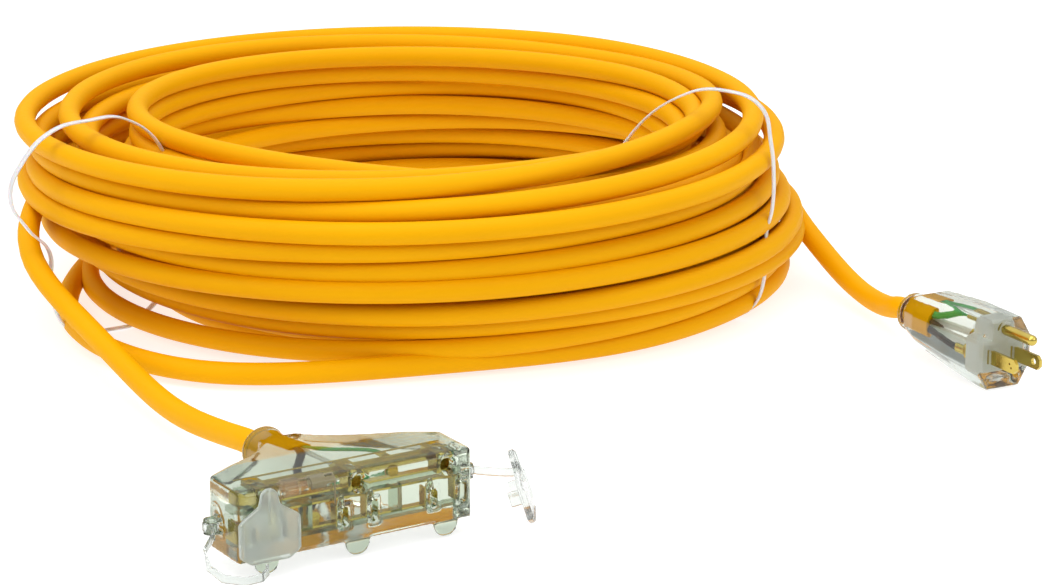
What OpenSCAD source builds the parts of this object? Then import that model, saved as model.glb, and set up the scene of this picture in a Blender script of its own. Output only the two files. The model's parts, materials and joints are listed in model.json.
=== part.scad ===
// Heavy-duty extension cord: a coiled cord held by two straps, with a clear power block that has
// three grounded outlets on one end and a clear grounded plug on the other.
// Millimetres. +Z is up, and Z = 0 is the floor that everything lies on.

/* [Cord] */
// Outside diameter of the cord's jacket
cord_d = 10.2; // [8.5:0.1:12.2]
// Outside diameter of one insulated wire inside the jacket
wire_d = 3.4; // [2.8:0.1:4.1]

/* [Coil] */
// Outside diameter of the wound coil
coil_outer_d = 372; // [310:1:446]
// Inside diameter of the wound coil
coil_inner_d = 268; // [224:1:300]
// Height of the pile of turns
coil_height = 94; // [78:1:113]
// Radius of the coil section's rounded corners
coil_corner = 24; // [10:1:25]

/* [Straps] */
// Width of each strap's band
strap_w = 3.6; // [2:0.1:6]
// Thickness of each strap's band
strap_t = 1.2; // [0.8:0.1:2]
// Room between a strap and the coil under the coil
strap_seat = 0.3; // [0.2:0.1:1]
// Room between a strap and the coil where it hugs the coil's outer side
strap_hug = 1.2; // [0.8:0.1:1.4]
// How far the left strap stands over the coil's top
left_over = 6; // [2:0.5:12]
// How far the left strap bulges outside the coil
left_bulge = 20; // [8:0.5:24]
// How far the left strap hangs inside the coil
left_inside = 10; // [4:0.5:30]
// How far the right strap stands over the coil's top
right_over = 14; // [2:0.5:16]
// How far the right strap bulges outside the coil
right_bulge = 5; // [3:0.5:24]
// How far the right strap hangs inside the coil
right_inside = 27; // [4:0.5:30]

/* [Power block] */
// Thickness of the block's end walls
block_end_wall = 3; // [2.5:0.1:4]
// Height of the block
block_h = 28; // [26:0.5:33.6]
// Depth of the outlet bar at its ends
block_depth = 24; // [22:0.5:29]
// Length from the front face to the end of the neck
block_neck_end = 79; // [70:1:95]
// Outside radius of the neck round the cord
block_neck_r = 9; // [7.5:0.1:10.8]
// Thickness of the block's walls
block_wall = 3.2; // [2.5:0.1:3.9]
// Length of the tabs under the front edge, which lift the block off the floor
tab_drop = 6; // [5:0.5:8]
// Radius of the tabs' round ends
tab_r = 5; // [4:0.1:6]

/* [Outlets] */
// Distance between neighbouring outlets
outlet_pitch = 38.4; // [34:0.1:40]
// Height of the ground openings above the block's bottom
ground_up = 23; // [22:0.1:24]
// Distance from a ground opening down to the middle of the blade slots
slot_drop = 11.9; // [11.5:0.1:12.2]
// Distance between the two blades of a plug
blade_gap = 12.7; // [12.5:0.1:12.9]
// Radius of a ground opening
ground_hole_r = 2.7; // [2.5:0.05:3.2]
// Width of a blade slot
slot_w = 2.6; // [2.2:0.1:3.1]
// Length of the slot for the neutral blade
neutral_slot_l = 8.6; // [8:0.1:9]
// Length of the slot for the line blade
line_slot_l = 7.2; // [6.8:0.1:8]

/* [Contacts] */
// Thickness of the brass strip
brass_t = 0.8; // [0.5:0.1:1]
// Width of each bus strip
bus_w = 5; // [3.5:0.5:6]

/* [Outlet covers] */
// Width of a cover's shield
cover_w = 25; // [21:0.5:30]
// Thickness of a cover's plate
cover_t = 2.2; // [1.6:0.1:3]
// Height of a cover's shield
cover_shield_h = 22; // [18:0.5:24]
// Height of a cover with its finger tab
cover_h = 28.5; // [26:0.5:34]
// Width of a cover's finger tab
cover_tab_w = 7; // [5:0.5:9]
// Length of a cover's prongs
prong_l = 4.8; // [3:0.1:5]
// Width of the tethers' ribbon
tether_w = 3.4; // [2.4:0.1:4]
// Thickness of the tethers' ribbon
tether_t = 1.2; // [0.8:0.1:1.4]
// Lean of the hanging cover, which stands on the floor
hang_lean = 18; // [10:1:25]

/* [Plug] */
// Length of the plug's body from its face to the end of its collar
plug_l = 69; // [62:1:83]
// Width of the plug's body
plug_w = 30; // [27:0.5:36]
// Height of the plug's body above the cord's axis
plug_above = 14; // [13:0.1:17]
// Depth of the plug's body below the cord's axis
plug_below = 17.5; // [15:0.1:21]
// Radius of the collar round the cord
plug_collar_r = 9; // [7.5:0.1:10.8]
// Height of the cord's axis above the middle of the blades
plug_axis_up = 2.6; // [2:0.1:3.2]
// Length of the blades beyond the face
blade_l = 17.9; // [15:0.1:18.3]
// Width of a blade
blade_w = 6.35; // [5.8:0.05:6.6]
// Thickness of a blade
blade_t = 1.5; // [1.3:0.1:1.6]
// Length of the ground pin beyond the face
ground_pin_l = 21.4; // [18:0.1:22]
// Radius of the ground pin
ground_pin_r = 2.38; // [2.3:0.01:2.45]
// Radius of the ground pin's shank, which the body and the bridge hold
pin_shank_r = 2.1; // [1.8:0.05:2.2]

/* [Hidden] */
round_fn = 64;

// Where the coil, the block and the plug lie on the floor
coil_at = [-56, 227, 0];
block_at = [-57, -157, tab_drop];
block_yaw = 32;
plug_yaw = -61.4;
plug_at = [215.5, 52, plug_below - plug_axis_up];

coil_r = coil_outer_d / 2;
coil_in_r = coil_inner_d / 2;
coil_w = coil_r - coil_in_r;
coil_z = strap_t + strap_seat;
cord_r = cord_d / 2;
cord_sides = 12;

slot_z = ground_up - slot_drop;
outlets = [-outlet_pitch, 0, outlet_pitch];
neck_z = block_h / 2;
flare_start = block_depth + 1;
neck_start = block_neck_end - 13;
jacket_y = block_depth + 22;

// Contacts: two leaves grip each blade, and a square socket takes each ground pin
clip_gap = blade_t + 0.6;
clip_half = clip_gap / 2 + brass_t;
clip_y = block_wall + 2;
clip_depth = 7;
clip_reach = 3.4;
socket_in = 2 * ground_pin_r + 0.3;
socket_out = socket_in + 2 * brass_t;
socket_front = block_wall + 0.3;

// Heights of the three bus strips, and their place behind the front wall
bus_y = block_wall + 6.5;
bus_back = bus_y + bus_w;
ground_bus_z = ground_up - socket_out / 2;
neutral_bus_z = slot_z + neutral_slot_l / 2 + 0.4;
line_bus_z = slot_z - line_slot_l / 2 - brass_t - 0.4;

// The block's inner chamber, which takes the contacts with a little room, and its length
chamber_x = outlet_pitch + blade_gap / 2 + clip_half + 0.4;
chamber_back = bus_back + 5.3;
chamber_z = [line_bus_z - 1.9, ground_up + socket_out / 2 + 0.2];
block_l = 2 * (chamber_x + block_end_wall);
passage_half = [26, cord_r];
passage_z = 8;

// Crimps on the bus strips, where the three wires end: [x, z of the wire]
crimp_y = bus_back + 1.2;
crimp_l = 4;
crimp_r = wire_d / 2 + 0.5;
line_tail = [-14, line_bus_z + brass_t + crimp_r];
neutral_tail = [0, neutral_bus_z + brass_t / 2];
ground_tail = [20, ground_bus_z + brass_t / 2];
// Places of the three wires in the jacket, round its axis
core_r = wire_d / 2 / cos(30) + 0.15;
core = [for (a = [150, 270, 30]) core_r * [cos(a), sin(a)]];

// The lamp and its resistor hang in front of the strips, from a neutral leaf to a line leaf
lamp_y = block_wall + 4;
lamp_z = ground_up + 0.5;
lamp_x = [-outlet_pitch + blade_gap / 2 + clip_gap / 2 + brass_t / 2, -blade_gap / 2 - clip_gap / 2 - brass_t / 2];
lamp_join = -outlet_pitch / 2;
lead_r = 0.35;

// The two anchors that hold the tethers, each a post between two ears
post_r = 1.5;
post_gap = 0.3;
eye_r = post_r + post_gap + 1.3;
anchor_reach = eye_r + 0.5;
anchor_z = 14.5;
right_anchor = [block_l / 2 + anchor_reach, 12, anchor_z];
left_anchor = [-block_l / 2 - anchor_reach, 17, 11];

// The covers
cover_gap = 0.2;
prong_w = 6.2;
hang_at = [block_l / 2 + 27, 2.5, -tab_drop];
hang_turn = 58;
hang_hold = [0, -cover_t / 2, cover_shield_h - 3];

// The plug's inner chamber and its parts, with x = 0 at the face
plug_face_wall = 2;
pad_t = 0.8;
pin_shoulder = 1.4;
bridge_l = 9;
bridge_w = 21;
pin_rise = slot_drop;
rear_chamber = 15;
rear_chamber_top = 9.6;
front_chamber_end = -30;
plug_jacket_x = 25 - plug_l;
collar_t = 3;
collar_gap = 2.5;
barrel_x = -plug_face_wall - bridge_l - 3.4;
barrel_l = 6;
plug_lamp_x = -plug_face_wall - bridge_l - 2;
plug_lamp_z = 1;
grip_r = 4;
blade_hole_r = 1.6;

// The free lead from the coil to the block: it starts on the coil's side, and ends in the neck
neck_dir = [-sin(block_yaw), cos(block_yaw), 0];
neck_mouth = in_block([0, block_neck_end, neck_z]);
block_lead_route = [
    [-225, 205, 56], [-228, 178, 52], [-228, 150, 46], [-222, 123, 38], [-207, 98, 29],
    [-191, 75, 22], [-176, 49, 17], [-162, 23, 13], [-149, -2, 11], [-136, -26, 11.5],
    [-123, -49, 14.5], [-111, -69, 17.5]
];
// The free lead from the coil to the plug: it starts on the coil's side, and ends in the collar
collar_dir = [-cos(plug_yaw), -sin(plug_yaw), 0];
collar_mouth = in_plug([-plug_l, 0, plug_axis_up]);
plug_lead_route = [
    [120.5, 298.5, 51], [128, 278, 45.5], [134.5, 257, 37], [141, 238, 27.5], [149, 221, 20],
    [156, 203, 14], [162.5, 185, 10], [168.5, 167, 8.5], [173, 149, 10], [176.6, 129, 14]
];
// The seated cover's ribbon, in the block's own frame, from its anchor round the block's end
left_ribbon_route = [
    [-56, 10, 9.7], [-61, 7, 6], [-62.5, 1, 1.5], [-59.5, -4.5, -1.5],
    [-52, -8, -3], [-45, -7.5, -3], [-41, -4, -2.5]
];

function in_block(p) = block_at + [p[0] * cos(block_yaw) - p[1] * sin(block_yaw),
                                   p[0] * sin(block_yaw) + p[1] * cos(block_yaw), p[2]];
function in_plug(p) = plug_at + [p[0] * cos(plug_yaw) - p[1] * sin(plug_yaw),
                                 p[0] * sin(plug_yaw) + p[1] * cos(plug_yaw), p[2]];
function unit(v) = v / norm(v);
function ring_section(r, sides) = [for (k = [0:sides - 1]) r * [cos(360 * k / sides), sin(360 * k / sides)]];
function ribbon_section(w, t) = [[t / 2, -w / 2], [t / 2, w / 2], [-t / 2, w / 2], [-t / 2, -w / 2]];
function heading(path, i) = unit(path[min(i + 1, len(path) - 1)] - path[max(i - 1, 0)]);
function side_of(t) = unit(cross([0, 0, 1], t));
function swept_ring(path, i, section) =
    let (t = heading(path, i), s = side_of(t), u = cross(t, s))
    [for (q = section) path[i] + q[0] * s + q[1] * u];
function arc(centre, r, from, to, steps) =
    [for (k = [0:steps]) let (a = from + (to - from) * k / steps) centre + r * [cos(a), sin(a)]];

// A section carried along a path, closed at both ends
module sweep(path, section) {
    n = len(path);
    m = len(section);
    points = [for (i = [0:n - 1]) each swept_ring(path, i, section)];
    walls = [for (i = [0:n - 2]) for (k = [0:m - 1]) let (j = (k + 1) % m)
                 each [[i * m + k, (i + 1) * m + k, i * m + j], [i * m + j, (i + 1) * m + k, (i + 1) * m + j]]];
    start = [for (k = [0:m - 1]) k];
    end = [for (k = [m - 1:-1:0]) (n - 1) * m + k];
    polyhedron(points, concat([start], walls, [end]));
}

module at_block() { translate(block_at) rotate([0, 0, block_yaw]) children(); }
module at_plug() { translate(plug_at) rotate([0, 0, plug_yaw]) children(); }
module along_y(r, from, to) { translate([0, from, 0]) rotate([-90, 0, 0]) cylinder(r = r, h = to - from, $fn = round_fn); }
module along_x(r, from, to) { translate([from, 0, 0]) rotate([0, 90, 0]) cylinder(r = r, h = to - from, $fn = round_fn); }
module box(lo, hi) { translate(lo) cube(hi - lo); }

// A rectangle with round corners, from its low corner
module rounded_rect(w, h, r) {
    translate([r, 0]) square([w - 2 * r, h]);
    translate([0, r]) square([w, h - 2 * r]);
    for (x = [r, w - r], y = [r, h - r]) translate([x, y]) circle(r = r, $fn = round_fn);
}

// ---- cord ----
module cord_coil() {
    color("orange") translate(coil_at + [0, 0, coil_z]) rotate_extrude($fn = 180)
        translate([coil_in_r, 0]) rounded_rect(coil_w, coil_height, coil_corner);
}

module block_lead() {
    color("orange") sweep(concat(block_lead_route, [neck_mouth + cord_d * neck_dir, neck_mouth]),
                          ring_section(cord_r, cord_sides));
}

module plug_lead() {
    color("orange") sweep(concat(plug_lead_route, [collar_mouth + cord_d * collar_dir, collar_mouth]),
                          ring_section(cord_r, cord_sides));
}

// ---- straps ----
// A closed curve through some points, with the floor as its lowest level
function on_loop(points, i) = points[(i + len(points)) % len(points)];
function between(a, b, c, d, t) =
    0.5 * (2 * b + (c - a) * t + (2 * a - 5 * b + 4 * c - d) * t * t + (3 * b - a - 3 * c + d) * t * t * t);
function loop_through(points, steps) = [for (i = [0:len(points) - 1]) for (k = [0:steps - 1])
    let (p = between(on_loop(points, i - 1), points[i], on_loop(points, i + 1), on_loop(points, i + 2), k / steps))
    [p[0], max(p[1], 0)]];
// The same curve moved inwards by the band's thickness
function inside_of(loop, t) = [for (i = [0:len(loop) - 1])
    let (along = unit(on_loop(loop, i + 1) - on_loop(loop, i - 1))) loop[i] + t * [along[1], -along[0]]];

// A loose band round the coil, in the vertical plane at one bearing. It hugs the lower outer side,
// so that a lead can pass it there.
module strap(bearing, over, bulge, inside) {
    top = coil_z + coil_height;
    hug = coil_r + strap_hug + strap_t;
    corner = 0.2 * coil_corner;
    foot = 0.6 * coil_corner;
    loop = loop_through([
        [coil_in_r - inside, top - 42], [coil_in_r - 0.6 * inside, top - 14], [coil_in_r + 14, top + 0.8 * over],
        [coil_r - 20, top + over], [coil_r - 2, top + 0.55 * over], [coil_r + 0.65 * bulge, top - 9],
        [coil_r + bulge, top - 25], [hug + 0.5 * bulge, top - 41],
        [hug, top - 53], [hug, coil_z + coil_corner], [coil_r - corner, 5],
        [coil_r - foot, 0], [coil_in_r + foot, 0], [coil_in_r - 2, 14]
    ], 5);
    translate(coil_at) rotate([0, 0, bearing]) translate([0, strap_w / 2, 0]) rotate([90, 0, 0])
        linear_extrude(strap_w) difference() {
            polygon(loop);
            polygon(inside_of(loop, strap_t));
        }
}

module left_strap() { color("white") strap(213, left_over, left_bulge, left_inside); }
module right_strap() { color("white") strap(-22, right_over, right_bulge, right_inside); }

// ---- power block: clear body ----
// Half width of the block behind its bar, where it narrows to the neck
function flare(y) = block_neck_r + (block_l / 2 - block_neck_r) * pow(1 - (y - flare_start) / (neck_start - flare_start), 1.8);

module block_plan() {
    r = 3;
    right = concat(arc([block_l / 2 - r, r], r, -90, 0, 6),
                   [for (k = [0:12]) let (y = flare_start + (neck_start - flare_start) * k / 12) [flare(y), y]]);
    polygon(concat(right, [for (k = [len(right) - 1:-1:0]) [-right[k][0], right[k][1]]]));
}

module block_profile() {
    low = neck_z - block_neck_r;
    high = neck_z + block_neck_r;
    polygon([[0, 1.5], [1.5, 0], [flare_start + 6, 0], [neck_start, low], [neck_start, high],
             [flare_start + 6, block_h], [1.5, block_h], [0, block_h - 1.5]]);
}

module block_outer() {
    intersection() {
        linear_extrude(block_h) block_plan();
        translate([-block_l / 2, 0, 0]) rotate([90, 0, 90]) linear_extrude(block_l) block_profile();
    }
    translate([0, 0, neck_z]) {
        along_y(block_neck_r, neck_start - 4, block_neck_end);
        along_y(block_neck_r + 0.7, block_neck_end - 3, block_neck_end - 0.5);
    }
    // Tabs under the front edge, one for each outlet, and the two gate marks on top
    for (x = outlets) translate([x, 0, 0]) {
        translate([0, 0, tab_r - tab_drop]) along_y(tab_r, 0.8, 3.2);
        box([-tab_r, 0.8, tab_r - tab_drop], [tab_r, 3.2, 1]);
    }
    for (x = [-1, 1]) translate([x * (block_l / 2 - 10), 11, block_h - 0.5]) cylinder(r = 1.4, h = 1.3, $fn = round_fn);
    anchor(right_anchor, 0);
    anchor(left_anchor, 180);
}

// A post between two ears, with its foot in the wall; the ears point along the bearing
module anchor(at, bearing) {
    ear = 1;
    half = tether_w / 2 + post_gap;
    translate(at) rotate([0, 0, bearing]) {
        translate([0, 0, -half - ear]) cylinder(r = post_r, h = 2 * (half + ear), $fn = round_fn);
        for (z = [-half - ear, half]) translate([0, 0, z]) {
            cylinder(r = eye_r, h = ear, $fn = round_fn);
            translate([-anchor_reach - 1, -eye_r, 0]) cube([anchor_reach + 1, 2 * eye_r, ear]);
        }
    }
}

module outlet_slot(x, l) {
    box([x - slot_w / 2, -1, slot_z - l / 2], [x + slot_w / 2, block_wall + 1, slot_z + l / 2]);
}

module block_body() {
    passage_low = min(neck_z - passage_z, line_tail[1] - wire_d / 2 - 0.3);
    color([0.75, 0.8, 0.75, 0.45]) at_block() difference() {
        block_outer();
        box([-chamber_x, block_wall, chamber_z[0]], [chamber_x, chamber_back, chamber_z[1]]);
        // The wires' way from the chamber to the jacket's end, and the jacket's bore
        translate([0, 0, passage_low]) linear_extrude(neck_z + passage_z - passage_low)
            polygon([[-passage_half[0], chamber_back - 1], [passage_half[0], chamber_back - 1],
                     [passage_half[1], jacket_y], [-passage_half[1], jacket_y]]);
        translate([0, 0, neck_z]) along_y(cord_r, jacket_y - 0.5, block_neck_end + 1);
        for (x = outlets) {
            translate([x, 0, ground_up]) along_y(ground_hole_r, -1, block_wall + 1);
            translate([x, 0, ground_up]) along_y(ground_hole_r, chamber_back - 1, ground_pin_l + 1);
            outlet_slot(x + blade_gap / 2, neutral_slot_l);
            outlet_slot(x - blade_gap / 2, line_slot_l);
        }
    }
}

// ---- power block: contacts ----
// A bus strip lying flat behind the front wall
module bus_strip(z, from, to) { box([from, bus_y, z], [to, bus_back, z + brass_t]); }

// Two leaves that grip a blade, between two heights
module clip(x, low, high) {
    for (s = [-1, 1]) {
        inner = x + s * clip_gap / 2;
        outer = x + s * clip_half;
        box([min(inner, outer), clip_y, low], [max(inner, outer), clip_y + clip_depth, high]);
    }
}

// A crimp barrel on a tab behind a strip, open towards the cord
module crimp(tail, strip_z) {
    difference() {
        translate([tail[0], 0, tail[1]]) along_y(crimp_r, crimp_y - 1.2, crimp_y + crimp_l);
        translate([tail[0], 0, tail[1]]) along_y(wire_d / 2, crimp_y, crimp_y + crimp_l + 1);
    }
    box([tail[0] - 1.6, bus_back - 0.5, min(strip_z, tail[1] - 0.4)],
        [tail[0] + 1.6, crimp_y - 1.2, max(strip_z + brass_t, tail[1])]);
}

module neutral_bus() {
    color("goldenrod") at_block() {
        bus_strip(neutral_bus_z, -outlet_pitch + blade_gap / 2 - clip_half, outlet_pitch + blade_gap / 2 + clip_half);
        for (x = outlets) clip(x + blade_gap / 2, slot_z - clip_reach, neutral_bus_z + brass_t);
        crimp(neutral_tail, neutral_bus_z);
    }
}

module line_bus() {
    color("goldenrod") at_block() {
        bus_strip(line_bus_z, -outlet_pitch - blade_gap / 2 - clip_half, outlet_pitch - blade_gap / 2 + clip_half);
        for (x = outlets) clip(x - blade_gap / 2, line_bus_z, slot_z + clip_reach);
        crimp(line_tail, line_bus_z);
    }
}

module ground_bus() {
    color("goldenrod") at_block() {
        difference() {
            union() {
                bus_strip(ground_bus_z, -outlet_pitch - socket_out / 2, outlet_pitch + socket_out / 2);
                for (x = outlets) box([x - socket_out / 2, socket_front, ground_bus_z],
                                      [x + socket_out / 2, bus_back, ground_bus_z + socket_out]);
            }
            for (x = outlets) box([x - socket_in / 2, socket_front - 1, ground_bus_z + brass_t],
                                  [x + socket_in / 2, bus_back + 1, ground_bus_z + brass_t + socket_in]);
        }
        crimp(ground_tail, ground_bus_z);
    }
}

// Two rails with ribs between the outlets, notched for the strips
module contact_carrier() {
    rails_y = [clip_y + 3, bus_back - 0.7];
    middle = [neutral_bus_z + brass_t + 0.6, ground_bus_z - 0.2];
    room = 0.1;
    color([0.85, 0.85, 0.8]) at_block() difference() {
        union() {
            box([-chamber_x, rails_y[0], chamber_z[0]], [chamber_x, rails_y[1], line_bus_z - 0.2]);
            box([-chamber_x, rails_y[0], middle[0]], [chamber_x, rails_y[1], middle[1]]);
            for (x = [-outlet_pitch / 2, outlet_pitch / 2])
                box([x - 2, rails_y[0], chamber_z[0]], [x + 2, rails_y[1], middle[1]]);
        }
        for (z = [line_bus_z, neutral_bus_z])
            box([-chamber_x, bus_y - room, z - room], [chamber_x, bus_back + room, z + brass_t + room]);
    }
}

module block_lamp() {
    color([1, 0.6, 0.3, 0.8]) at_block() {
        translate([0, lamp_y, lamp_z]) along_x(lead_r, lamp_x[0] - lead_r, lamp_join);
        translate([0, lamp_y, lamp_z]) along_x(2.2, lamp_x[0] + 1.5, lamp_join - 3.5);
        translate([lamp_x[0], lamp_y, neutral_bus_z + brass_t])
            cylinder(r = lead_r, h = lamp_z - neutral_bus_z - brass_t, $fn = round_fn);
    }
}

module block_resistor() {
    color("tan") at_block() {
        translate([0, lamp_y, lamp_z]) along_x(lead_r, lamp_join, lamp_x[1] + lead_r);
        translate([0, lamp_y, lamp_z]) along_x(1.2, lamp_join + 1.5, lamp_join + 7.5);
        translate([lamp_x[1], lamp_y, slot_z + clip_reach])
            cylinder(r = lead_r, h = lamp_z - slot_z - clip_reach, $fn = round_fn);
    }
}

// ---- power block: wires ----
// A wire's path from the jacket's end into its crimp: straight at both ends, and smooth between
function wire_path(from, to, dir, straight, steps) =
    let (a = from + dir, b = to - straight * dir, along = ((b - a) * dir) * dir, across = b - a - along)
    concat([from], [for (i = [0:steps]) let (t = i / steps) a + along * t + across * t * t * (3 - 2 * t)], [to]);

module block_wire(k, tail) {
    sweep(wire_path([core[k][0], jacket_y, neck_z + core[k][1]], [tail[0], crimp_y, tail[1]], [0, -1, 0],
                    crimp_l + 0.5, 9), ring_section(wire_d / 2, 8));
}

module block_black_wire() { color("black") at_block() block_wire(0, line_tail); }
module block_white_wire() { color("white") at_block() block_wire(1, neutral_tail); }
module block_green_wire() { color("green") at_block() block_wire(2, ground_tail); }
module block_cord_end() {
    color("orange") at_block() translate([0, 0, neck_z]) along_y(cord_r, jacket_y, block_neck_end);
}

// ---- outlet covers ----
// The outline of a cover, from the middle of its lower edge
module cover_outline() {
    half = cover_w / 2;
    tab = cover_tab_w / 2;
    right = concat([[half * 0.62, 0]], arc([half - 2.5, 4.3], 2.5, -40, 0, 3),
                   [[half, cover_shield_h * 0.74], [half * 0.88, cover_shield_h * 0.8], [tab + 0.8, cover_shield_h]],
                   arc([0, cover_h - tab], tab, 0, 80, 5));
    polygon(concat(right, [for (k = [len(right) - 1:-1:0]) [-right[k][0], right[k][1]]]));
}

// A cover standing on its lower edge, with its back at y = 0 and its two prongs behind
module cover() {
    rotate([90, 0, 0]) linear_extrude(cover_t) cover_outline();
    for (x = [-1, 1] * blade_gap / 2)
        box([x - blade_t / 2, -0.5, slot_z - prong_w / 2], [x + blade_t / 2, prong_l, slot_z + prong_w / 2]);
}

module seated_cover() {
    color([0.8, 0.85, 0.82, 0.6]) at_block() translate([-outlet_pitch, -cover_gap, 0]) cover();
}

module hang_pose() { at_block() translate(hang_at) rotate([0, 0, hang_turn]) rotate([-hang_lean, 0, 0]) children(); }
module hanging_cover() { color([0.9, 0.92, 0.92, 0.5]) hang_pose() cover(); }

// A ribbon with an eye on an anchor's post
module tether(at, path) {
    difference() {
        union() {
            translate(at - [0, 0, tether_w / 2]) cylinder(r = eye_r, h = tether_w, $fn = round_fn);
            sweep(path, ribbon_section(tether_w, tether_t));
        }
        translate(at - [0, 0, tether_w]) cylinder(r = post_r + post_gap, h = 2 * tether_w, $fn = round_fn);
    }
}

module seated_cover_tether() {
    start = left_anchor - [0, eye_r - 0.6, 0];
    end = [-outlet_pitch - 1.5, -cover_gap - cover_t / 2, -tether_w / 2 - 0.4];
    color([0.9, 0.92, 0.92, 0.5]) at_block() tether(left_anchor, concat([start], left_ribbon_route, [end]));
}

module hanging_cover_tether() {
    lean = [hang_hold[0], hang_hold[1] * cos(hang_lean) + hang_hold[2] * sin(hang_lean),
            hang_hold[2] * cos(hang_lean) - hang_hold[1] * sin(hang_lean)];
    hold = hang_at + [-lean[1] * sin(hang_turn), lean[1] * cos(hang_turn), lean[2]];
    start = right_anchor + [eye_r - 0.6, 0, 0];
    color([0.9, 0.92, 0.92, 0.5]) at_block()
        tether(right_anchor, [for (t = [0:0.125:1]) start + (hold - start) * t + [0, -1.5 * sin(180 * t), 0]]);
}

// ---- plug ----
// One slice of the plug's body round the cord's axis
module plug_slice(x, t, half, above, below) {
    translate([x, 0, plug_axis_up]) rotate([90, 0, 90]) linear_extrude(t)
        polygon([[half, above * 0.35], [half * 0.62, above], [-half * 0.62, above], [-half, above * 0.35],
                 [-half, -below * 0.45], [-half * 0.6, -below], [half * 0.6, -below], [half, -below * 0.45]]);
}

module plug_outer() {
    neck_from = collar_t + collar_gap - plug_l;
    hull() {
        plug_slice(-6, 6, plug_w / 2 - 0.5, plug_above, plug_below);
        plug_slice(-27, 1, plug_w / 2, plug_above + 0.5, plug_below - 3);
        plug_slice(-52, 1, plug_w / 2 - 2.5, plug_above - 0.8, plug_below - 6);
        plug_slice(neck_from, 1, plug_collar_r, plug_collar_r, plug_collar_r);
    }
    translate([0, 0, plug_axis_up]) {
        along_x(plug_collar_r - 1.5, -plug_l, neck_from + 1);
        along_x(plug_collar_r, -plug_l, collar_t - plug_l);
    }
    // The grip roll under the blades, and raised pads round the pins
    translate([grip_r - 7.2, 0, plug_axis_up - plug_below + grip_r]) rotate([90, 0, 0])
        cylinder(r = grip_r, h = 17, center = true, $fn = round_fn);
    translate([0, 0, pin_rise]) along_x(4, -1, pad_t);
    for (s = [-1, 1]) box([-1, s * blade_gap / 2 - 2.6, -4.6], [pad_t, s * blade_gap / 2 + 2.6, 4.6]);
}

module plug_body() {
    color([0.85, 0.9, 0.88, 0.45]) at_plug() difference() {
        plug_outer();
        plug_front_room();
        box([plug_jacket_x, -rear_chamber / 2, plug_axis_up - rear_chamber / 2],
            [front_chamber_end + 0.5, rear_chamber / 2, plug_axis_up + rear_chamber_top]);
        translate([0, 0, plug_axis_up]) along_x(cord_r, -plug_l - 1, plug_jacket_x + 0.5);
        translate([0, 0, pin_rise]) along_x(pin_shank_r, -plug_face_wall - 1, 2);
        for (s = [-1, 1]) box([-plug_face_wall - 1, s * blade_gap / 2 - blade_t / 2, -blade_w / 2],
                              [2, s * blade_gap / 2 + blade_t / 2, blade_w / 2]);
    }
}

// The front of the plug's chamber: wide round the blades, narrow round the ground pin
module plug_front_room(from = front_chamber_end, to = -plug_face_wall) {
    box([from, -bridge_w / 2, -7], [to, bridge_w / 2, plug_axis_up + 4.5]);
    box([from, -5.5, 0], [to, 5.5, pin_rise + ground_pin_r + 0.4]);
}

module pin_bridge() {
    color("ivory") at_plug() difference() {
        plug_front_room(-plug_face_wall - bridge_l, -plug_face_wall);
        translate([0, 0, pin_rise]) along_x(pin_shank_r, -20, 2);
        for (s = [-1, 1]) box([-20, s * blade_gap / 2 - blade_t / 2, -blade_w / 2],
                              [2, s * blade_gap / 2 + blade_t / 2, blade_w / 2]);
    }
}

// A barrel behind a pin, open towards the cord, that holds its wire
module barrel(y, z) {
    translate([0, y, z]) difference() {
        along_x(crimp_r, barrel_x - barrel_l, barrel_x);
        along_x(wire_d / 2, barrel_x - barrel_l - 1, barrel_x - 1.2);
    }
}

// A flat blade with a chamfered tip
module blade(y) {
    tip = 1.8;
    translate([0, y + blade_t / 2, 0]) rotate([90, 0, 0]) linear_extrude(blade_t)
        polygon([[barrel_x, -blade_w / 2], [blade_l - tip, -blade_w / 2], [blade_l, -blade_w / 2 + tip],
                 [blade_l, blade_w / 2 - tip], [blade_l - tip, blade_w / 2], [barrel_x, blade_w / 2]]);
    barrel(y, 0);
}

module line_blade() {
    color("goldenrod") at_plug() difference() {
        blade(-blade_gap / 2);
        for (x = [0, 1]) translate([blade_l - 4.6 + 1.2 * x, -blade_gap / 2 - blade_t, 0.7 - 1.6 * x])
            rotate([-90, 0, 0]) cylinder(r = 0.5, h = blade_t, $fn = round_fn);
    }
}

module neutral_blade() {
    color("goldenrod") at_plug() difference() {
        blade(blade_gap / 2);
        translate([blade_l - 4.2, blade_gap / 2, 0]) rotate([90, 0, 0])
            cylinder(r = blade_hole_r, h = 3 * blade_t, center = true, $fn = round_fn);
    }
}

module ground_pin() {
    color("goldenrod") at_plug() {
        translate([0, 0, pin_rise]) {
            along_x(pin_shank_r, barrel_x, pin_shoulder);
            along_x(ground_pin_r, pin_shoulder, ground_pin_l - ground_pin_r);
            translate([ground_pin_l - ground_pin_r, 0, 0]) sphere(r = ground_pin_r, $fn = round_fn);
        }
        barrel(0, pin_rise);
    }
}

module plug_lamp() {
    color([1, 0.6, 0.3, 0.8]) at_plug() translate([plug_lamp_x, 0, plug_lamp_z]) {
        along_y(1.5, 0.3, 4.2);
        along_y(lead_r, -0.6, (blade_gap - blade_t) / 2);
    }
}

module plug_resistor() {
    color("tan") at_plug() translate([plug_lamp_x, 0, plug_lamp_z]) {
        along_y(1, -4.2, -1.2);
        along_y(lead_r, -(blade_gap - blade_t) / 2, -0.6);
    }
}

// One wire from the jacket's end into the barrel of its pin
module plug_wire(k, y, z) {
    sweep(wire_path([plug_jacket_x, -core[k][0], plug_axis_up - core[k][1]], [barrel_x - 1.2, y, z], [1, 0, 0],
                    barrel_l - 0.7, 7), ring_section(wire_d / 2, 8));
}

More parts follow.
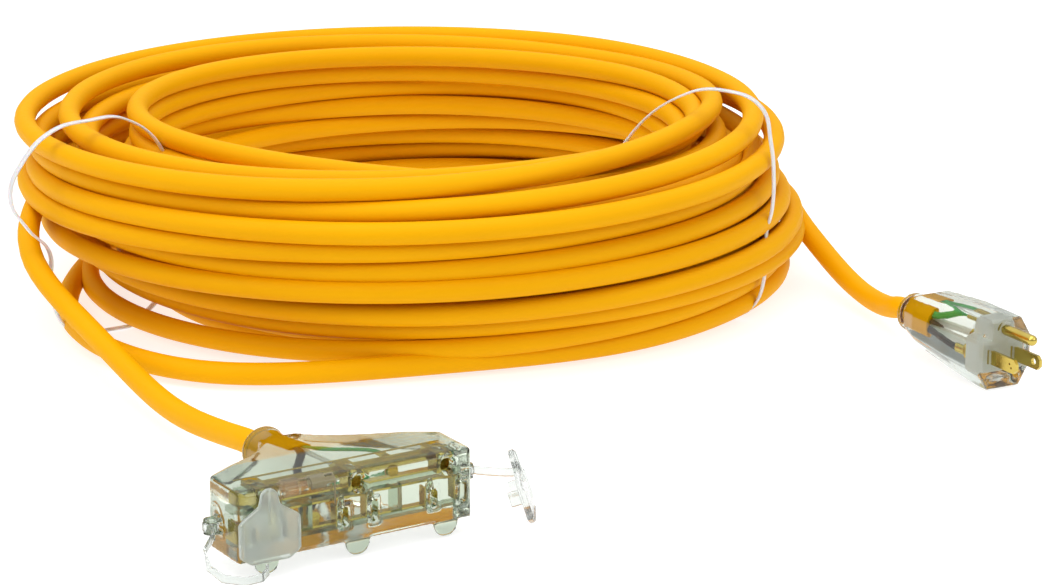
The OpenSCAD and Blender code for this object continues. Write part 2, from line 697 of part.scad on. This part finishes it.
module plug_white_wire() { color("white") at_plug() plug_wire(0, blade_gap / 2, 0); }
module plug_black_wire() { color("black") at_plug() plug_wire(2, -blade_gap / 2, 0); }
module plug_green_wire() { color("green") at_plug() plug_wire(1, 0, pin_rise); }
module plug_cord_end() {
    color("orange") at_plug() translate([0, 0, plug_axis_up]) along_x(cord_r, -plug_l, plug_jacket_x);
}

cord_coil();
block_lead();
plug_lead();
left_strap();
right_strap();
block_body();
contact_carrier();
line_bus();
neutral_bus();
ground_bus();
block_lamp();
block_resistor();
block_black_wire();
block_white_wire();
block_green_wire();
block_cord_end();
seated_cover();
seated_cover_tether();
hanging_cover();
hanging_cover_tether();
plug_body();
pin_bridge();
line_blade();
neutral_blade();
ground_pin();
plug_lamp();
plug_resistor();
plug_black_wire();
plug_white_wire();
plug_green_wire();
plug_cord_end();
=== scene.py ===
# A coiled extension cord: the cord itself, two straps, a clear power block with three outlets, its
# tethered covers, and a clear plug. Metres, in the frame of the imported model.
import json
import math

import bpy
import numpy as np
from mathutils import Matrix, Vector

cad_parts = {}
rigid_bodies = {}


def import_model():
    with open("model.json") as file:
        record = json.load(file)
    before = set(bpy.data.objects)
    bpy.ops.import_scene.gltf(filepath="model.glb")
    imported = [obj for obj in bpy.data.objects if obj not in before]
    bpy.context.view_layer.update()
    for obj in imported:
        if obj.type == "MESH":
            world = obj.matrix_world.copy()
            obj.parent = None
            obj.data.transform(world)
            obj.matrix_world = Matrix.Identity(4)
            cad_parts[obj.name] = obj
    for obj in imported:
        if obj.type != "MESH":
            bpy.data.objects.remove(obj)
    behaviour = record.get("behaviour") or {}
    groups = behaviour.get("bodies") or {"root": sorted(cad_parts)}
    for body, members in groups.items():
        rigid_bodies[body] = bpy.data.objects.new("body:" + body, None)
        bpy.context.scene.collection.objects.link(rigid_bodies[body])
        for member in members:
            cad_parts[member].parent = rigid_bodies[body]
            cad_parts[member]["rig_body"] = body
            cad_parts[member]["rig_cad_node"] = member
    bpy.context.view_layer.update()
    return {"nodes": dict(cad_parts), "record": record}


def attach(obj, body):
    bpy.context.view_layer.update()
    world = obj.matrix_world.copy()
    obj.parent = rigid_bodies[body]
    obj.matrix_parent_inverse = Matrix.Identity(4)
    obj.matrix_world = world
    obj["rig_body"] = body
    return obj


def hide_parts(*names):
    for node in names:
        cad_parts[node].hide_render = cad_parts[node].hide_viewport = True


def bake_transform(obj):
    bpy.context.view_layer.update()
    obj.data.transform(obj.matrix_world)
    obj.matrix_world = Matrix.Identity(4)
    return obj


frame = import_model()
MM = 0.001

# ---- Camera, floor and studio light ----
# A long lens looks down at the object from the front, by about sixteen degrees. The floor is a plain
# pale sheet. Three wide soft lights stand above the object and at its two sides.
LOOK_DOWN = 15.86  # degrees
camera = bpy.data.objects.new("camera", bpy.data.cameras.new("camera"))
bpy.context.scene.collection.objects.link(camera)
camera.location = (0.005, -1.253, 0.4144)
camera.rotation_euler = (math.radians(90 - LOOK_DOWN), 0, 0)
camera.data.lens = 106.44
camera.data.sensor_width = 36
bpy.context.scene.camera = camera

bpy.ops.object.select_all(action="DESELECT")
bpy.ops.mesh.primitive_plane_add(size=12, location=(0, 3, -0.0005))
floor = bpy.context.object
floor.name = "floor"
paper = bpy.data.materials.new("pale_paper")
paper.use_nodes = True
sheet = paper.node_tree.nodes["Principled BSDF"]
sheet.inputs["Base Color"].default_value = (0.42, 0.42, 0.42, 1)
sheet.inputs["Roughness"].default_value = 0.9
sheet.inputs["Emission Color"].default_value = (1, 1, 1, 1)
sheet.inputs["Emission Strength"].default_value = 0.72
floor.data.materials.append(paper)

# The room is bright above and darker at the sides, which gives the clear vinyl its grey edges
world = bpy.data.worlds.new("studio")
world.use_nodes = True
room = world.node_tree
compass = room.nodes.new("ShaderNodeTexCoord")
split = room.nodes.new("ShaderNodeSeparateXYZ")
ramp = room.nodes.new("ShaderNodeValToRGB")
room.links.new(compass.outputs["Generated"], split.inputs["Vector"])
room.links.new(split.outputs["Z"], ramp.inputs["Fac"])
room.links.new(ramp.outputs["Color"], room.nodes["Background"].inputs["Color"])
ramp.color_ramp.elements[0].position = 0.0
ramp.color_ramp.elements[0].color = (0.16, 0.17, 0.16, 1)
ramp.color_ramp.elements[1].position = 0.55
ramp.color_ramp.elements[1].color = (1, 1, 1, 1)
shoulder = ramp.color_ramp.elements.new(0.22)
shoulder.color = (0.32, 0.33, 0.32, 1)
room.nodes["Background"].inputs["Strength"].default_value = 1.05
bpy.context.scene.world = world
# The plain view transform keeps the strong yellow of the jacket
bpy.context.scene.view_settings.view_transform = "Standard"


def soft_light(name, place, aim, size, power):
    """A square area light that faces a point."""
    light = bpy.data.objects.new(name, bpy.data.lights.new(name, "AREA"))
    bpy.context.scene.collection.objects.link(light)
    light.location = place
    light.rotation_euler = (Vector(aim) - Vector(place)).to_track_quat("-Z", "Y").to_euler()
    light.data.size = size
    light.data.energy = power


soft_light("light_above", (-0.2, -0.2, 1.9), (0, 0.1, 0), 1.6, 16)
soft_light("light_left", (-1.6, -1.2, 1.1), (0, 0, 0.05), 1.0, 7)
soft_light("light_right", (1.5, -0.9, 0.9), (0, 0, 0.05), 1.0, 5)

# ---- Cord ----
# One hundred feet of three-core cord with a yellow vinyl jacket. It runs from the power block to the
# coil, lies there in 29 loose turns that ride over each other, and leaves for the plug.
CORD_D = 0.0102
CORD_R = CORD_D / 2
COIL_AT = Vector((-0.056, 0.227, 0))
TURNS = 29
STEPS = 60  # points in each turn
FIRST_BEARING, LAST_BEARING = 180, 35  # where the coil starts, at the left, and ends, at the right
BLOCK_ROUTE = [
    (-225, 205, 56), (-228, 178, 52), (-228, 150, 46), (-222, 123, 38), (-207, 98, 29),
    (-191, 75, 22), (-176, 49, 17), (-162, 23, 13), (-149, -2, 11), (-136, -26, 11.5),
    (-123, -49, 14.5), (-111, -69, 17.5),
]
PLUG_ROUTE = [
    (120.5, 298.5, 51), (128, 278, 45.5), (134.5, 257, 37), (141, 238, 27.5), (149, 221, 20),
    (156, 203, 14), (162.5, 185, 10), (168.5, 167, 8.5), (173, 149, 10), (176.6, 129, 14),
]
# Where each turn lies: (stack, level), the stacks counted from the outside. The turns go down the
# outer stack, up the two inner stacks side by side, and end on the outer stack again. OUTER is the
# outer stack's radius at each level, which is smaller near the floor and a little at the top.
LEVEL = 0.0101
LOWEST_UP = 0.0066
STACK_GAP = 0.0165
OUTER = [0.166, 0.173, 0.178, 0.181, 0.182, 0.182, 0.181, 0.179, 0.177, 0.175]
places = [(0, n) for n in range(5, -1, -1)] + [(1, 0)]
for n in range(1, 10):
    places += [(s, n) for s in ((2, 1) if n % 2 else (1, 2))]
places += [(0, n) for n in (9, 8, 7, 6, 6, 6)]
# How far the strands stray sideways and up, how many points a bend takes, how often the pile is
# let settle, and the least gap under it
STRAY_OUT, STRAY_UP, BEND = 0.0042, 0.0020, 6
SETTLINGS = 160
FLOOR_GAP = 0.0015


def wander(rng, count, reach, size):
    """Smooth noise along the cord, with bends about reach points long."""
    kernel = np.exp(-0.5 * (np.arange(-3 * reach, 3 * reach + 1) / reach) ** 2)
    noise = np.convolve(rng.normal(size=count + 6 * reach), kernel, "valid")
    return size * noise / noise.std()


def smooth_step(t):
    """Rises from 0 to 1 with no kink at either end."""
    t = np.clip(t, 0, 1)
    return t * t * (3 - 2 * t)


def part_turns(radius, height):
    """Pushes turns that lie in each other apart, section by section round the coil. Spare places
    past the last point are filled with turns too far off to touch any other."""
    spare = -len(radius) % STEPS
    r = np.append(radius, np.full(spare, 9.0)).reshape(-1, STEPS)
    z = np.append(height, np.arange(spare) + 9.0).reshape(-1, STEPS)
    dr, dz = r[:, None] - r[None], z[:, None] - z[None]
    far = np.sqrt(dr ** 2 + dz ** 2)
    far[np.arange(len(r)), np.arange(len(r))] = 9
    push = np.clip(CORD_D - far, 0, None) * 0.42 / np.maximum(far, 1e-5)
    r += (dr * push).sum(1)
    z += (dz * push).sum(1)
    return r.ravel()[: len(radius)], z.ravel()[: len(height)]


def coil_points():
    """The coil's centreline, clockwise seen from above, from its left side to its right side."""
    rng = np.random.default_rng(11)
    count = int(round((TURNS + (FIRST_BEARING - LAST_BEARING) / 360) * STEPS))
    turn = np.arange(count) / STEPS
    lap = np.floor(turn).astype(int)
    # A turn changes its place on the way across the front of the coil
    change = smooth_step((turn - lap - 0.58) / 0.30)
    stack = np.array([OUTER[n] - (STACK_GAP + 0.0006 * n) * s for s, n in places])
    spread = np.array([1 + 0.35 * s for s, n in places])
    level = np.array([n for s, n in places])
    wanted = stack[lap] * (1 - change) + stack[lap + 1] * change
    wanted += spread[lap] * wander(rng, count, BEND, STRAY_OUT)
    height = LOWEST_UP + LEVEL * (level[lap] * (1 - change) + level[lap + 1] * change)
    height += wander(rng, count, BEND, STRAY_UP)
    radius = wanted.copy()
    # The cord is stiff, so it evens out, while it sinks and its turns press each other apart
    for n in range(SETTLINGS):
        for line in (radius, height):
            line[1:-1] += 0.3 * (0.5 * (line[:-2] + line[2:]) - line[1:-1])
        radius += 0.04 * (wanted - radius)
        height -= 0.00006
        radius, height = part_turns(radius, height)
        height = np.maximum(height, CORD_R + FLOOR_GAP)
    angle = np.radians(FIRST_BEARING) - 2 * math.pi * turn
    # The lowest turns lie a little to the back and the right, and are drawn in at the left. One of
    # them lies loose at the front left.
    loose = np.exp(-((turn - 4.83) / np.where(turn < 4.83, 0.075, 0.14)) ** 2)
    radius += 0.024 * loose
    low = smooth_step((0.064 - height) / 0.045) * (1 - loose)
    radius -= 0.012 * low * np.clip(np.cos(angle - math.radians(195)), 0, 1) ** 2
    return [COIL_AT + Vector((r * math.cos(a) + 0.014 * f, r * math.sin(a) + 0.018 * f, h))
            for r, h, a, f in zip(radius, height, angle, low)]


mounts = {m["name"]: m for m in frame["record"]["mounts"]}


def lying_at(mount, reach, up):
    """The point that lies reach along a mount's axis and up below the mount, and that axis."""
    axis = Vector(mounts[mount]["axis"])
    place = Vector(mounts[mount]["pos_m"]) + reach * axis - Vector((0, 0, up))
    return place, axis


# The block's own frame starts at the foot of its face, in the middle, with -Y looking out of the
# face. The plug's starts midway between its blades, on its face, with +X looking out.
SOCKET_SUNK, GROUND_UP = 1.6, 23
PIN_MOUNT_OUT, PIN_UP = 10.21, 11.9
face, block_front = lying_at("middle_outlet_ground", SOCKET_SUNK * MM, GROUND_UP * MM)
block_turn = math.atan2(block_front.x, -block_front.y)
BLOCK = Matrix.Translation(face) @ Matrix.Rotation(block_turn, 4, "Z")
face, plug_front = lying_at("plug_ground_pin", -PIN_MOUNT_OUT * MM, PIN_UP * MM)
plug_turn = math.atan2(plug_front.y, plug_front.x)
PLUG = Matrix.Translation(face) @ Matrix.Rotation(plug_turn, 4, "Z")
NECK_MOUTH = BLOCK @ (MM * Vector((0, 79, 14)))
COLLAR_MOUTH = PLUG @ (MM * Vector((-69, 0, 2.6)))
route = [NECK_MOUTH, NECK_MOUTH - CORD_D * block_front]
route += [MM * Vector(p) for p in reversed(BLOCK_ROUTE)]
route += coil_points()
route += [MM * Vector(p) for p in PLUG_ROUTE]
route += [COLLAR_MOUTH - CORD_D * plug_front, COLLAR_MOUTH]

line = bpy.data.curves.new("cord", "CURVE")
line.dimensions = "3D"
line.bevel_depth = 1  # times each point's own radius
line.bevel_resolution = 5
line.resolution_u = 3
spline = line.splines.new("NURBS")
spline.points.add(len(route) - 1)
for point, place in zip(spline.points, route):
    point.co = (*place, 1)
    point.radius = CORD_R
spline.order_u = 4
spline.use_endpoint_u = True
cord = bpy.data.objects.new("cord", line)
bpy.context.scene.collection.objects.link(cord)
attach(cord, "cord_set")
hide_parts("cord_coil", "block_lead", "plug_lead")


def finish_of(name, colour, rough, **more):
    """A new material with plain values on its shader's sockets."""
    made = bpy.data.materials.new(name)
    made.use_nodes = True
    shader = made.node_tree.nodes["Principled BSDF"]
    shader.inputs["Base Color"].default_value = (*colour, 1)
    shader.inputs["Roughness"].default_value = rough
    for socket, value in more.items():
        shader.inputs[socket.replace("_", " ")].default_value = value
    return made


def mottle_group():
    """Slow colour drift, and a fine grain that also varies the roughness. Every finish of the cord
    set has it."""
    group = bpy.data.node_groups.new("mottle", "ShaderNodeTree")
    socket = group.interface.new_socket
    socket("Colour", in_out="INPUT", socket_type="NodeSocketColor")
    socket("Drift colour", in_out="INPUT", socket_type="NodeSocketColor")
    for name, value in (("Drift scale", 20.0), ("Grain scale", 900.0), ("Roughness", 0.4), ("Rub", 0.1)):
        socket(name, in_out="INPUT", socket_type="NodeSocketFloat").default_value = value
    socket("Colour", in_out="OUTPUT", socket_type="NodeSocketColor")
    socket("Roughness", in_out="OUTPUT", socket_type="NodeSocketFloat")
    socket("Grain", in_out="OUTPUT", socket_type="NodeSocketFloat")
    add, link = group.nodes.new, group.links.new
    inputs, outputs = add("NodeGroupInput"), add("NodeGroupOutput")
    place = add("ShaderNodeTexCoord")
    drift, grain = add("ShaderNodeTexNoise"), add("ShaderNodeTexNoise")
    mix, rub = add("ShaderNodeMix"), add("ShaderNodeMath")
    mix.data_type = "RGBA"
    rub.operation = "MULTIPLY_ADD"
    for noise, scale in ((drift, "Drift scale"), (grain, "Grain scale")):
        link(place.outputs["Object"], noise.inputs["Vector"])
        link(inputs.outputs[scale], noise.inputs["Scale"])
        noise.inputs["Detail"].default_value = 3
    link(drift.outputs["Fac"], mix.inputs["Factor"])
    link(inputs.outputs["Colour"], mix.inputs["A"])
    link(inputs.outputs["Drift colour"], mix.inputs["B"])
    link(grain.outputs["Fac"], rub.inputs[0])
    link(inputs.outputs["Rub"], rub.inputs[1])
    link(inputs.outputs["Roughness"], rub.inputs[2])
    link(mix.outputs["Result"], outputs.inputs["Colour"])
    link(rub.outputs["Value"], outputs.inputs["Roughness"])
    link(grain.outputs["Fac"], outputs.inputs["Grain"])
    return group


MOTTLE = mottle_group()


def mottled(made, drift, drift_scale, grain_scale, rub, relief):
    """Puts the mottle on a material: its drift colour, how fine it is, and how deep its grain."""
    tree = made.node_tree
    shader = tree.nodes["Principled BSDF"]
    effect, bump = tree.nodes.new("ShaderNodeGroup"), tree.nodes.new("ShaderNodeBump")
    effect.node_tree = MOTTLE
    effect.inputs["Colour"].default_value = shader.inputs["Base Color"].default_value
    effect.inputs["Drift colour"].default_value = (*drift, 1)
    effect.inputs["Drift scale"].default_value = drift_scale
    effect.inputs["Grain scale"].default_value = grain_scale
    effect.inputs["Roughness"].default_value = shader.inputs["Roughness"].default_value - rub / 2
    effect.inputs["Rub"].default_value = rub
    bump.inputs["Strength"].default_value = 0.5
    bump.inputs["Distance"].default_value = relief
    tree.links.new(effect.outputs["Colour"], shader.inputs["Base Color"])
    tree.links.new(effect.outputs["Roughness"], shader.inputs["Roughness"])
    tree.links.new(effect.outputs["Grain"], bump.inputs["Height"])
    tree.links.new(bump.outputs["Normal"], shader.inputs["Normal"])
    return made


jacket = mottled(finish_of("yellow_vinyl", (0.86, 0.42, 0.0), 0.56, Specular_IOR_Level=0.07),
                 (0.78, 0.355, 0.0), 14, 260, 0.16, 0.00012)
line.materials.append(jacket)


def coat(node, material):
    """Gives a part that is shown as it is its material."""
    mesh = frame["nodes"][node].data
    mesh.materials.clear()
    mesh.materials.append(material)


for node in ("block_cord_end", "plug_cord_end"):
    coat(node, jacket)

# ---- Straps ----
# Two loose bands of white nylon, each round the whole section of the coil and welded into a loop.
# They bulge where they bridge the strands, and are slightly see-through.
COIL_R, COIL_IN_R, COIL_TOP = 186, 134, 95.5  # in millimetres
STRAP_W, STRAP_T = 3.6, 1.1
nylon = mottled(finish_of("white_nylon", (0.93, 0.93, 0.95), 0.32, IOR=1.53, Transmission_Weight=0.35,
                          Subsurface_Weight=0.3, Subsurface_Scale=0.002),
                (0.86, 0.87, 0.90), 60, 700, 0.15, 0.00008)


def strap(name, node, bearing, over, bulge, inside):
    """A flat band swept round a closed loop in the upright plane at one bearing of the coil. It
    bulges over the coil's top and out of its side, and slants towards the middle inside it."""
    hug = COIL_R + 2
    loop = [(COIL_IN_R - inside, COIL_TOP - 42), (COIL_IN_R - 0.6 * inside, COIL_TOP - 14),
            (COIL_IN_R + 14, COIL_TOP + 0.8 * over), (COIL_R - 20, COIL_TOP + over),
            (COIL_R - 2, COIL_TOP + 0.55 * over), (COIL_R + 0.65 * bulge, COIL_TOP - 9),
            (COIL_R + bulge, COIL_TOP - 25), (hug + 0.5 * bulge, COIL_TOP - 41), (hug, COIL_TOP - 53),
            (hug, 25), (COIL_R - 5, 5), (COIL_R - 15, STRAP_T / 2), (COIL_IN_R + 15, STRAP_T / 2),
            (COIL_IN_R - 2, 14)]
    band = bpy.data.curves.new(name, "CURVE")
    band.dimensions = "3D"
    band.twist_mode = "Z_UP"
    band.resolution_u = 8
    band.bevel_depth = STRAP_T / 2 * MM
    band.bevel_resolution = 2
    band.extrude = (STRAP_W - STRAP_T) / 2 * MM
    way = band.splines.new("BEZIER")
    way.bezier_points.add(len(loop) - 1)
    way.use_cyclic_u = True
    for point, (out, up) in zip(way.bezier_points, loop):
        point.co = (out * MM, up * MM, 0)
        on_floor = up < 1
        point.handle_left_type = point.handle_right_type = "VECTOR" if on_floor else "AUTO"
    piece = bpy.data.objects.new(name, band)
    bpy.context.scene.collection.objects.link(piece)
    bpy.ops.object.select_all(action="DESELECT")
    piece.select_set(True)
    bpy.context.view_layer.objects.active = piece
    bpy.ops.object.convert(target="MESH")
    upright = Matrix.Rotation(math.radians(bearing), 4, "Z") @ Matrix.Rotation(math.radians(90), 4, "X")
    piece.data.transform(Matrix.Translation(COIL_AT) @ upright)
    bpy.ops.object.mode_set(mode="EDIT")
    bpy.ops.mesh.select_all(action="SELECT")
    bpy.ops.mesh.remove_doubles(threshold=1e-6)
    bpy.ops.mesh.normals_make_consistent(inside=False)
    bpy.ops.object.mode_set(mode="OBJECT")
    bpy.ops.object.shade_smooth()
    piece.data.materials.append(nylon)
    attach(piece, "cord_set")
    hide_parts(node)


strap("left_band", "left_strap", 213, 6, 20, 10)
strap("right_band", "right_strap", -22, 14, 5, 27)

# ---- Block body ----
# The power block is moulded round its contacts from clear, faintly green soft vinyl. Each outlet has
# a ring round its ground opening. The two open ones have a frame round each slot too, and the body's
# edges are softly rounded. The sizes are in millimetres.
PITCH, SLOT_UP, SLOT_OUT = 38.4, 11.1, 6.35
SLOT_HALF, NEUTRAL_TALL, LINE_TALL = 1.3, 8.6, 7.2
RIM, LAP = 1.2, 0.3  # how wide a slot's frame is, and how far its bars run into each other
BODY_HALF, ROOM_END = 50.2, 47.2  # half the body's width, and half that of the room inside it


def bar(where, low, high):
    """A block between two corners, in millimetres, in the frame of the block or the plug."""
    low, high = MM * Vector(low), MM * Vector(high)
    bpy.ops.object.select_all(action="DESELECT")
    bpy.ops.mesh.primitive_cube_add(size=1)
    piece = bpy.context.object
    size = Matrix.Diagonal((*(high - low), 1))
    piece.data.transform(where @ Matrix.Translation((low + high) / 2) @ size)
    return piece


def ring(where, centre, radius, thick, axis="Y"):
    """A raised ring that lies in a face, its axis along X or Y."""
    bpy.ops.object.select_all(action="DESELECT")
    bpy.ops.mesh.primitive_torus_add(major_radius=radius * MM, minor_radius=thick * MM,
                                     major_segments=48, minor_segments=10)
    piece = bpy.context.object
    turn = Matrix.Rotation(math.radians(90), 4, "X" if axis == "Y" else "Y")
    piece.data.transform(where @ Matrix.Translation(MM * Vector(centre)) @ turn)
    return piece


def only(piece):
    """Selects one piece and makes it the active one."""
    bpy.ops.object.select_all(action="DESELECT")
    piece.select_set(True)
    bpy.context.view_layer.objects.active = piece


def soften(piece, voxel, passes, group=""):
    """Fuses a piece into one skin and rounds its edges. With a group named, only the block's body
    between its two ends and above its base is rounded, so the tethers' posts keep their shape."""
    only(piece)
    fuse = piece.modifiers.new("fuse", "REMESH")
    fuse.mode = "VOXEL"
    fuse.voxel_size = voxel * MM
    bpy.ops.object.modifier_apply(modifier="fuse")
    if group:
        near = piece.vertex_groups.new(name=group)
        into_block = BLOCK.inverted()
        spots = [into_block @ v.co for v in piece.data.vertices]
        body = [n for n, p in enumerate(spots) if abs(p.x) < BODY_HALF * MM and p.z > 0.4 * MM]
        near.add(body, 1, "REPLACE")
    ease = piece.modifiers.new("ease", "SMOOTH")
    ease.iterations = passes
    ease.factor = 0.5
    ease.vertex_group = group
    bpy.ops.object.modifier_apply(modifier="ease")
    bpy.ops.object.shade_smooth()


def moulded(name, node, body, voxel, passes, material, marks=(), group="", filling=()):
    """A part's solid with rounded edges, joined with its raised marks, as in a soft moulding. The
    filling is vinyl that flowed into the room round the parts inside. A piece that bends between
    two bodies has no body of its own here."""
    piece = frame["nodes"][node].copy()
    piece.data = piece.data.copy()
    piece.parent = None
    piece.name = piece.data.name = name
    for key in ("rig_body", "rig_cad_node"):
        del piece[key]
    bpy.context.scene.collection.objects.link(piece)
    only(piece)
    bpy.ops.object.mode_set(mode="EDIT")
    bpy.ops.mesh.select_all(action="SELECT")
    bpy.ops.mesh.remove_doubles(threshold=1e-6)
    bpy.ops.object.mode_set(mode="OBJECT")
    if filling:
        for part in filling:
            part.select_set(True)
        bpy.ops.object.join()
    soften(piece, voxel, passes, group)
    if marks:
        for part in marks:
            part.select_set(True)
        bpy.ops.object.join()
        soften(piece, voxel, 3)
    piece.data.materials.clear()
    piece.data.materials.append(material)
    if body:
        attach(piece, body)
    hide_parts(node)
    return piece


clear = mottled(finish_of("clear_vinyl", (0.66, 0.73, 0.63), 0.09, IOR=1.45, Transmission_Weight=1.0),
                (0.48, 0.57, 0.44), 22, 420, 0.06, 0.00010)


def slot_frame(slot, tall):
    """Four raised bars round one slot, two upright and two level."""
    left, right = slot - SLOT_HALF, slot + SLOT_HALF
    foot, top = SLOT_UP - tall / 2, SLOT_UP + tall / 2
    bars = (((left - RIM, foot - RIM), (left, top + RIM)),
            ((right, foot - RIM), (right + RIM, top + RIM)),
            ((left - LAP, top), (right + LAP, top + RIM)),
            ((left - LAP, foot - RIM), (right + LAP, foot)))
    return [bar(BLOCK, (x0, -0.8, z0), (x1, 0.4, z1)) for (x0, z0), (x1, z1) in bars]


marks = []
for x in (-PITCH, 0, PITCH):
    marks.append(ring(BLOCK, (x, 0.1, GROUND_UP), 4.1, 0.45))
    if x > -PITCH:  # the left outlet's slots lie under its cover
        marks += slot_frame(x - SLOT_OUT, LINE_TALL) + slot_frame(x + SLOT_OUT, NEUTRAL_TALL)
marks.append(ring(BLOCK, (-50.0, 19.5, 14), 4.6, 0.4, axis="X"))
# The vinyl fills the room behind the front wall, except in the slots and the ground sockets. Each
# list holds the left and right ends of the stretches between them.
slots = [x + side * SLOT_OUT + out for x in (-PITCH, 0, PITCH) for side in (-1, 1) for out in (-1.7, 1.7)]
sockets = [x + out for x in (-PITCH, 0, PITCH) for out in (-3, 3)]
filling = []
for ends, low, high in ((slots, (2.9, 4), (5.6, 19.4)), (sockets, (2.9, 19.2), (12, 26.7))):
    ends = [-ROOM_END] + ends + [ROOM_END]
    filling += [bar(BLOCK, (left, *low), (right, *high)) for left, right in zip(ends[::2], ends[1::2])]
for half, low, high in ((ROOM_END, (5.4, 4), (20.2, 19.4)), (ROOM_END, (11.5, 19.2), (20.2, 26.7)),
                        (26.2, (19, 5.8), (33, 22.2)), (14, (30, 5.8), (46.4, 22.2))):
    filling.append(bar(BLOCK, (-half, *low), (half, *high)))
block_shell = moulded("block_shell", "block_body", "cord_set", 0.6, 24, clear, marks, "edges", filling)

# ---- Outlet covers ----
# Each outlet cover is one soft moulding: a shield with a finger tab, a ridge down the tab, and two
# prongs that plug into the slots. The seated one is frosted, the hanging one clear.
COVER_UP, COVER_T = 28.5, 2.2


def cover_marks(where):
    """The ridge down the tab, and the shield's thicker rim at its foot and its two sides."""
    front = -COVER_T
    ridge = bar(where, (-0.7, front - 0.9, 15), (0.7, front + 0.3, COVER_UP - 0.8))
    foot = bar(where, (-7.5, front - 0.5, 0.4), (7.5, front + 0.3, 1.5))
    sides = [bar(where, (x, front - 0.5, 3.6), (x + 1.1, front + 0.3, 15.6)) for x in (-12.3, 11.2)]
    return [ridge, foot] + sides


frost = mottled(finish_of("frosted_vinyl", (0.90, 0.94, 0.90), 0.36, IOR=1.42, Transmission_Weight=0.80),
                (0.76, 0.82, 0.76), 110, 600, 0.14, 0.00003)
glassy = mottled(finish_of("glassy_vinyl", (0.86, 0.89, 0.86), 0.16, IOR=1.46, Transmission_Weight=0.95),
                 (0.74, 0.78, 0.75), 70, 500, 0.08, 0.00010)
SEATED = BLOCK @ Matrix.Translation(MM * Vector((-PITCH, -0.2, 0)))
HANGING = (BLOCK @ Matrix.Translation(MM * Vector((77, 2.5, -6)))
           @ Matrix.Rotation(math.radians(58), 4, "Z") @ Matrix.Rotation(math.radians(-18), 4, "X"))
seated = moulded("seated_shield", "seated_cover", "seated_cover", 0.3, 5, frost, cover_marks(SEATED))
hanging = moulded("hanging_shield", "hanging_cover", "hanging_cover", 0.3, 5, glassy, cover_marks(HANGING))

# ---- Tethers ----
# A thin flat ribbon of clear vinyl ties each cover to a post between two ears on the block. The
# seated cover's ribbon, which bends as the cover is pulled out, is left on no body here.
left_ribbon = moulded("left_ribbon", "seated_cover_tether", None, 0.3, 8, glassy)
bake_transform(left_ribbon)
right_ribbon = moulded("right_ribbon", "hanging_cover_tether", "hanging_cover", 0.3, 8, glassy)

# ---- Contacts, wires and lamps ----
# Folded brass strip makes the contacts, blades and pin. The copper wires have vinyl insulation in
# the three usual colours. The block and the plug each hold a small unlit lamp and its resistor.
brass = mottled(finish_of("brass", (0.68, 0.53, 0.13), 0.24, Metallic=1.0),
                (0.50, 0.37, 0.07), 120, 900, 0.18, 0.00005)
for node in ("neutral_bus", "line_bus", "ground_bus", "line_blade", "neutral_blade", "ground_pin"):
    coat(node, brass)
# Two thin strips run under the block's top, from end to end
rails = [bar(BLOCK, (-44, y, 25.3), (44, y + 1.5, 25.9)) for y in (9.5, 15.5)]
only(rails[0])
rails[1].select_set(True)
bpy.ops.object.join()
rails[0].name = rails[0].data.name = "top_rails"
rails[0].data.materials.append(brass)
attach(rails[0], "cord_set")
for colour_name, colour, drift in (("black", (0.020, 0.019, 0.018), (0.032, 0.028, 0.025)),
                                   ("white", (0.86, 0.85, 0.80), (0.78, 0.77, 0.71)),
                                   ("green", (0.07, 0.50, 0.10), (0.04, 0.38, 0.07))):
    wire = mottled(finish_of(colour_name + "_insulation", colour, 0.42), drift, 60, 500, 0.15, 0.00006)
    for place in ("block", "plug"):
        coat(f"{place}_{colour_name}_wire", wire)
lamp_glass = mottled(finish_of("lamp_glass", (1.0, 0.78, 0.55), 0.05, Transmission_Weight=0.8, IOR=1.5),
                     (0.95, 0.62, 0.40), 200, 900, 0.04, 0.00002)
resistor_coat = mottled(finish_of("resistor_coat", (0.62, 0.47, 0.30), 0.55),
                        (0.50, 0.36, 0.22), 200, 900, 0.10, 0.00005)
for place in ("block", "plug"):
    coat(f"{place}_lamp", lamp_glass)
    coat(f"{place}_resistor", resistor_coat)
carrier = mottled(finish_of("carrier_plastic", (0.74, 0.80, 0.68), 0.22, Transmission_Weight=0.97,
                            IOR=1.06),
                  (0.30, 0.38, 0.28), 28, 500, 0.12, 0.00008)
coat("contact_carrier", carrier)
bridge = mottled(finish_of("bridge_plastic", (0.97, 0.97, 0.93), 0.38, Transmission_Weight=0.3, IOR=1.45),
                 (0.90, 0.90, 0.84), 60, 500, 0.12, 0.00008)
coat("pin_bridge", bridge)

# ---- Plug body ----
# The plug is moulded from clear vinyl, paler than the block's, and tapers to a collar round the
# cord. It has a raised frame round each blade, a ring round its pin, and a grip roll across its
# front under the blades.
pads = [ring(PLUG, (0.7, 0, PIN_UP), 3.9, 0.5, axis="X")]
for side in (-1, 1):
    for low, high in (((0, -3.0, -5.0), (1.2, -2.1, 5.0)), ((0, 2.1, -5.0), (1.2, 3.0, 5.0)),
                      ((0, -3.0, -5.0), (1.2, 3.0, -4.2)), ((0, -3.0, 4.2), (1.2, 3.0, 5.0))):
        shift = Vector((0, side * SLOT_OUT, 0))
        pads.append(bar(PLUG, Vector(low) + shift, Vector(high) + shift))
# The room round the wires, the crimp barrels and the pin is filled
filling = [bar(PLUG, (-44.2, -7.7, -5.1), (-29.2, 7.7, 12.4)),
           bar(PLUG, (-30.2, -10.7, -7.2), (-1.8, 10.7, 7.3)),
           bar(PLUG, (-30.2, -5.7, -0.2), (-1.8, 5.7, 14.9))]
pale = mottled(finish_of("plug_vinyl", (0.82, 0.87, 0.82), 0.09, IOR=1.45, Transmission_Weight=1.0),
               (0.68, 0.75, 0.68), 26, 420, 0.06, 0.00010)
plug_shell = moulded("plug_shell", "plug_body", "cord_set", 0.5, 8, pale, pads, "", filling)
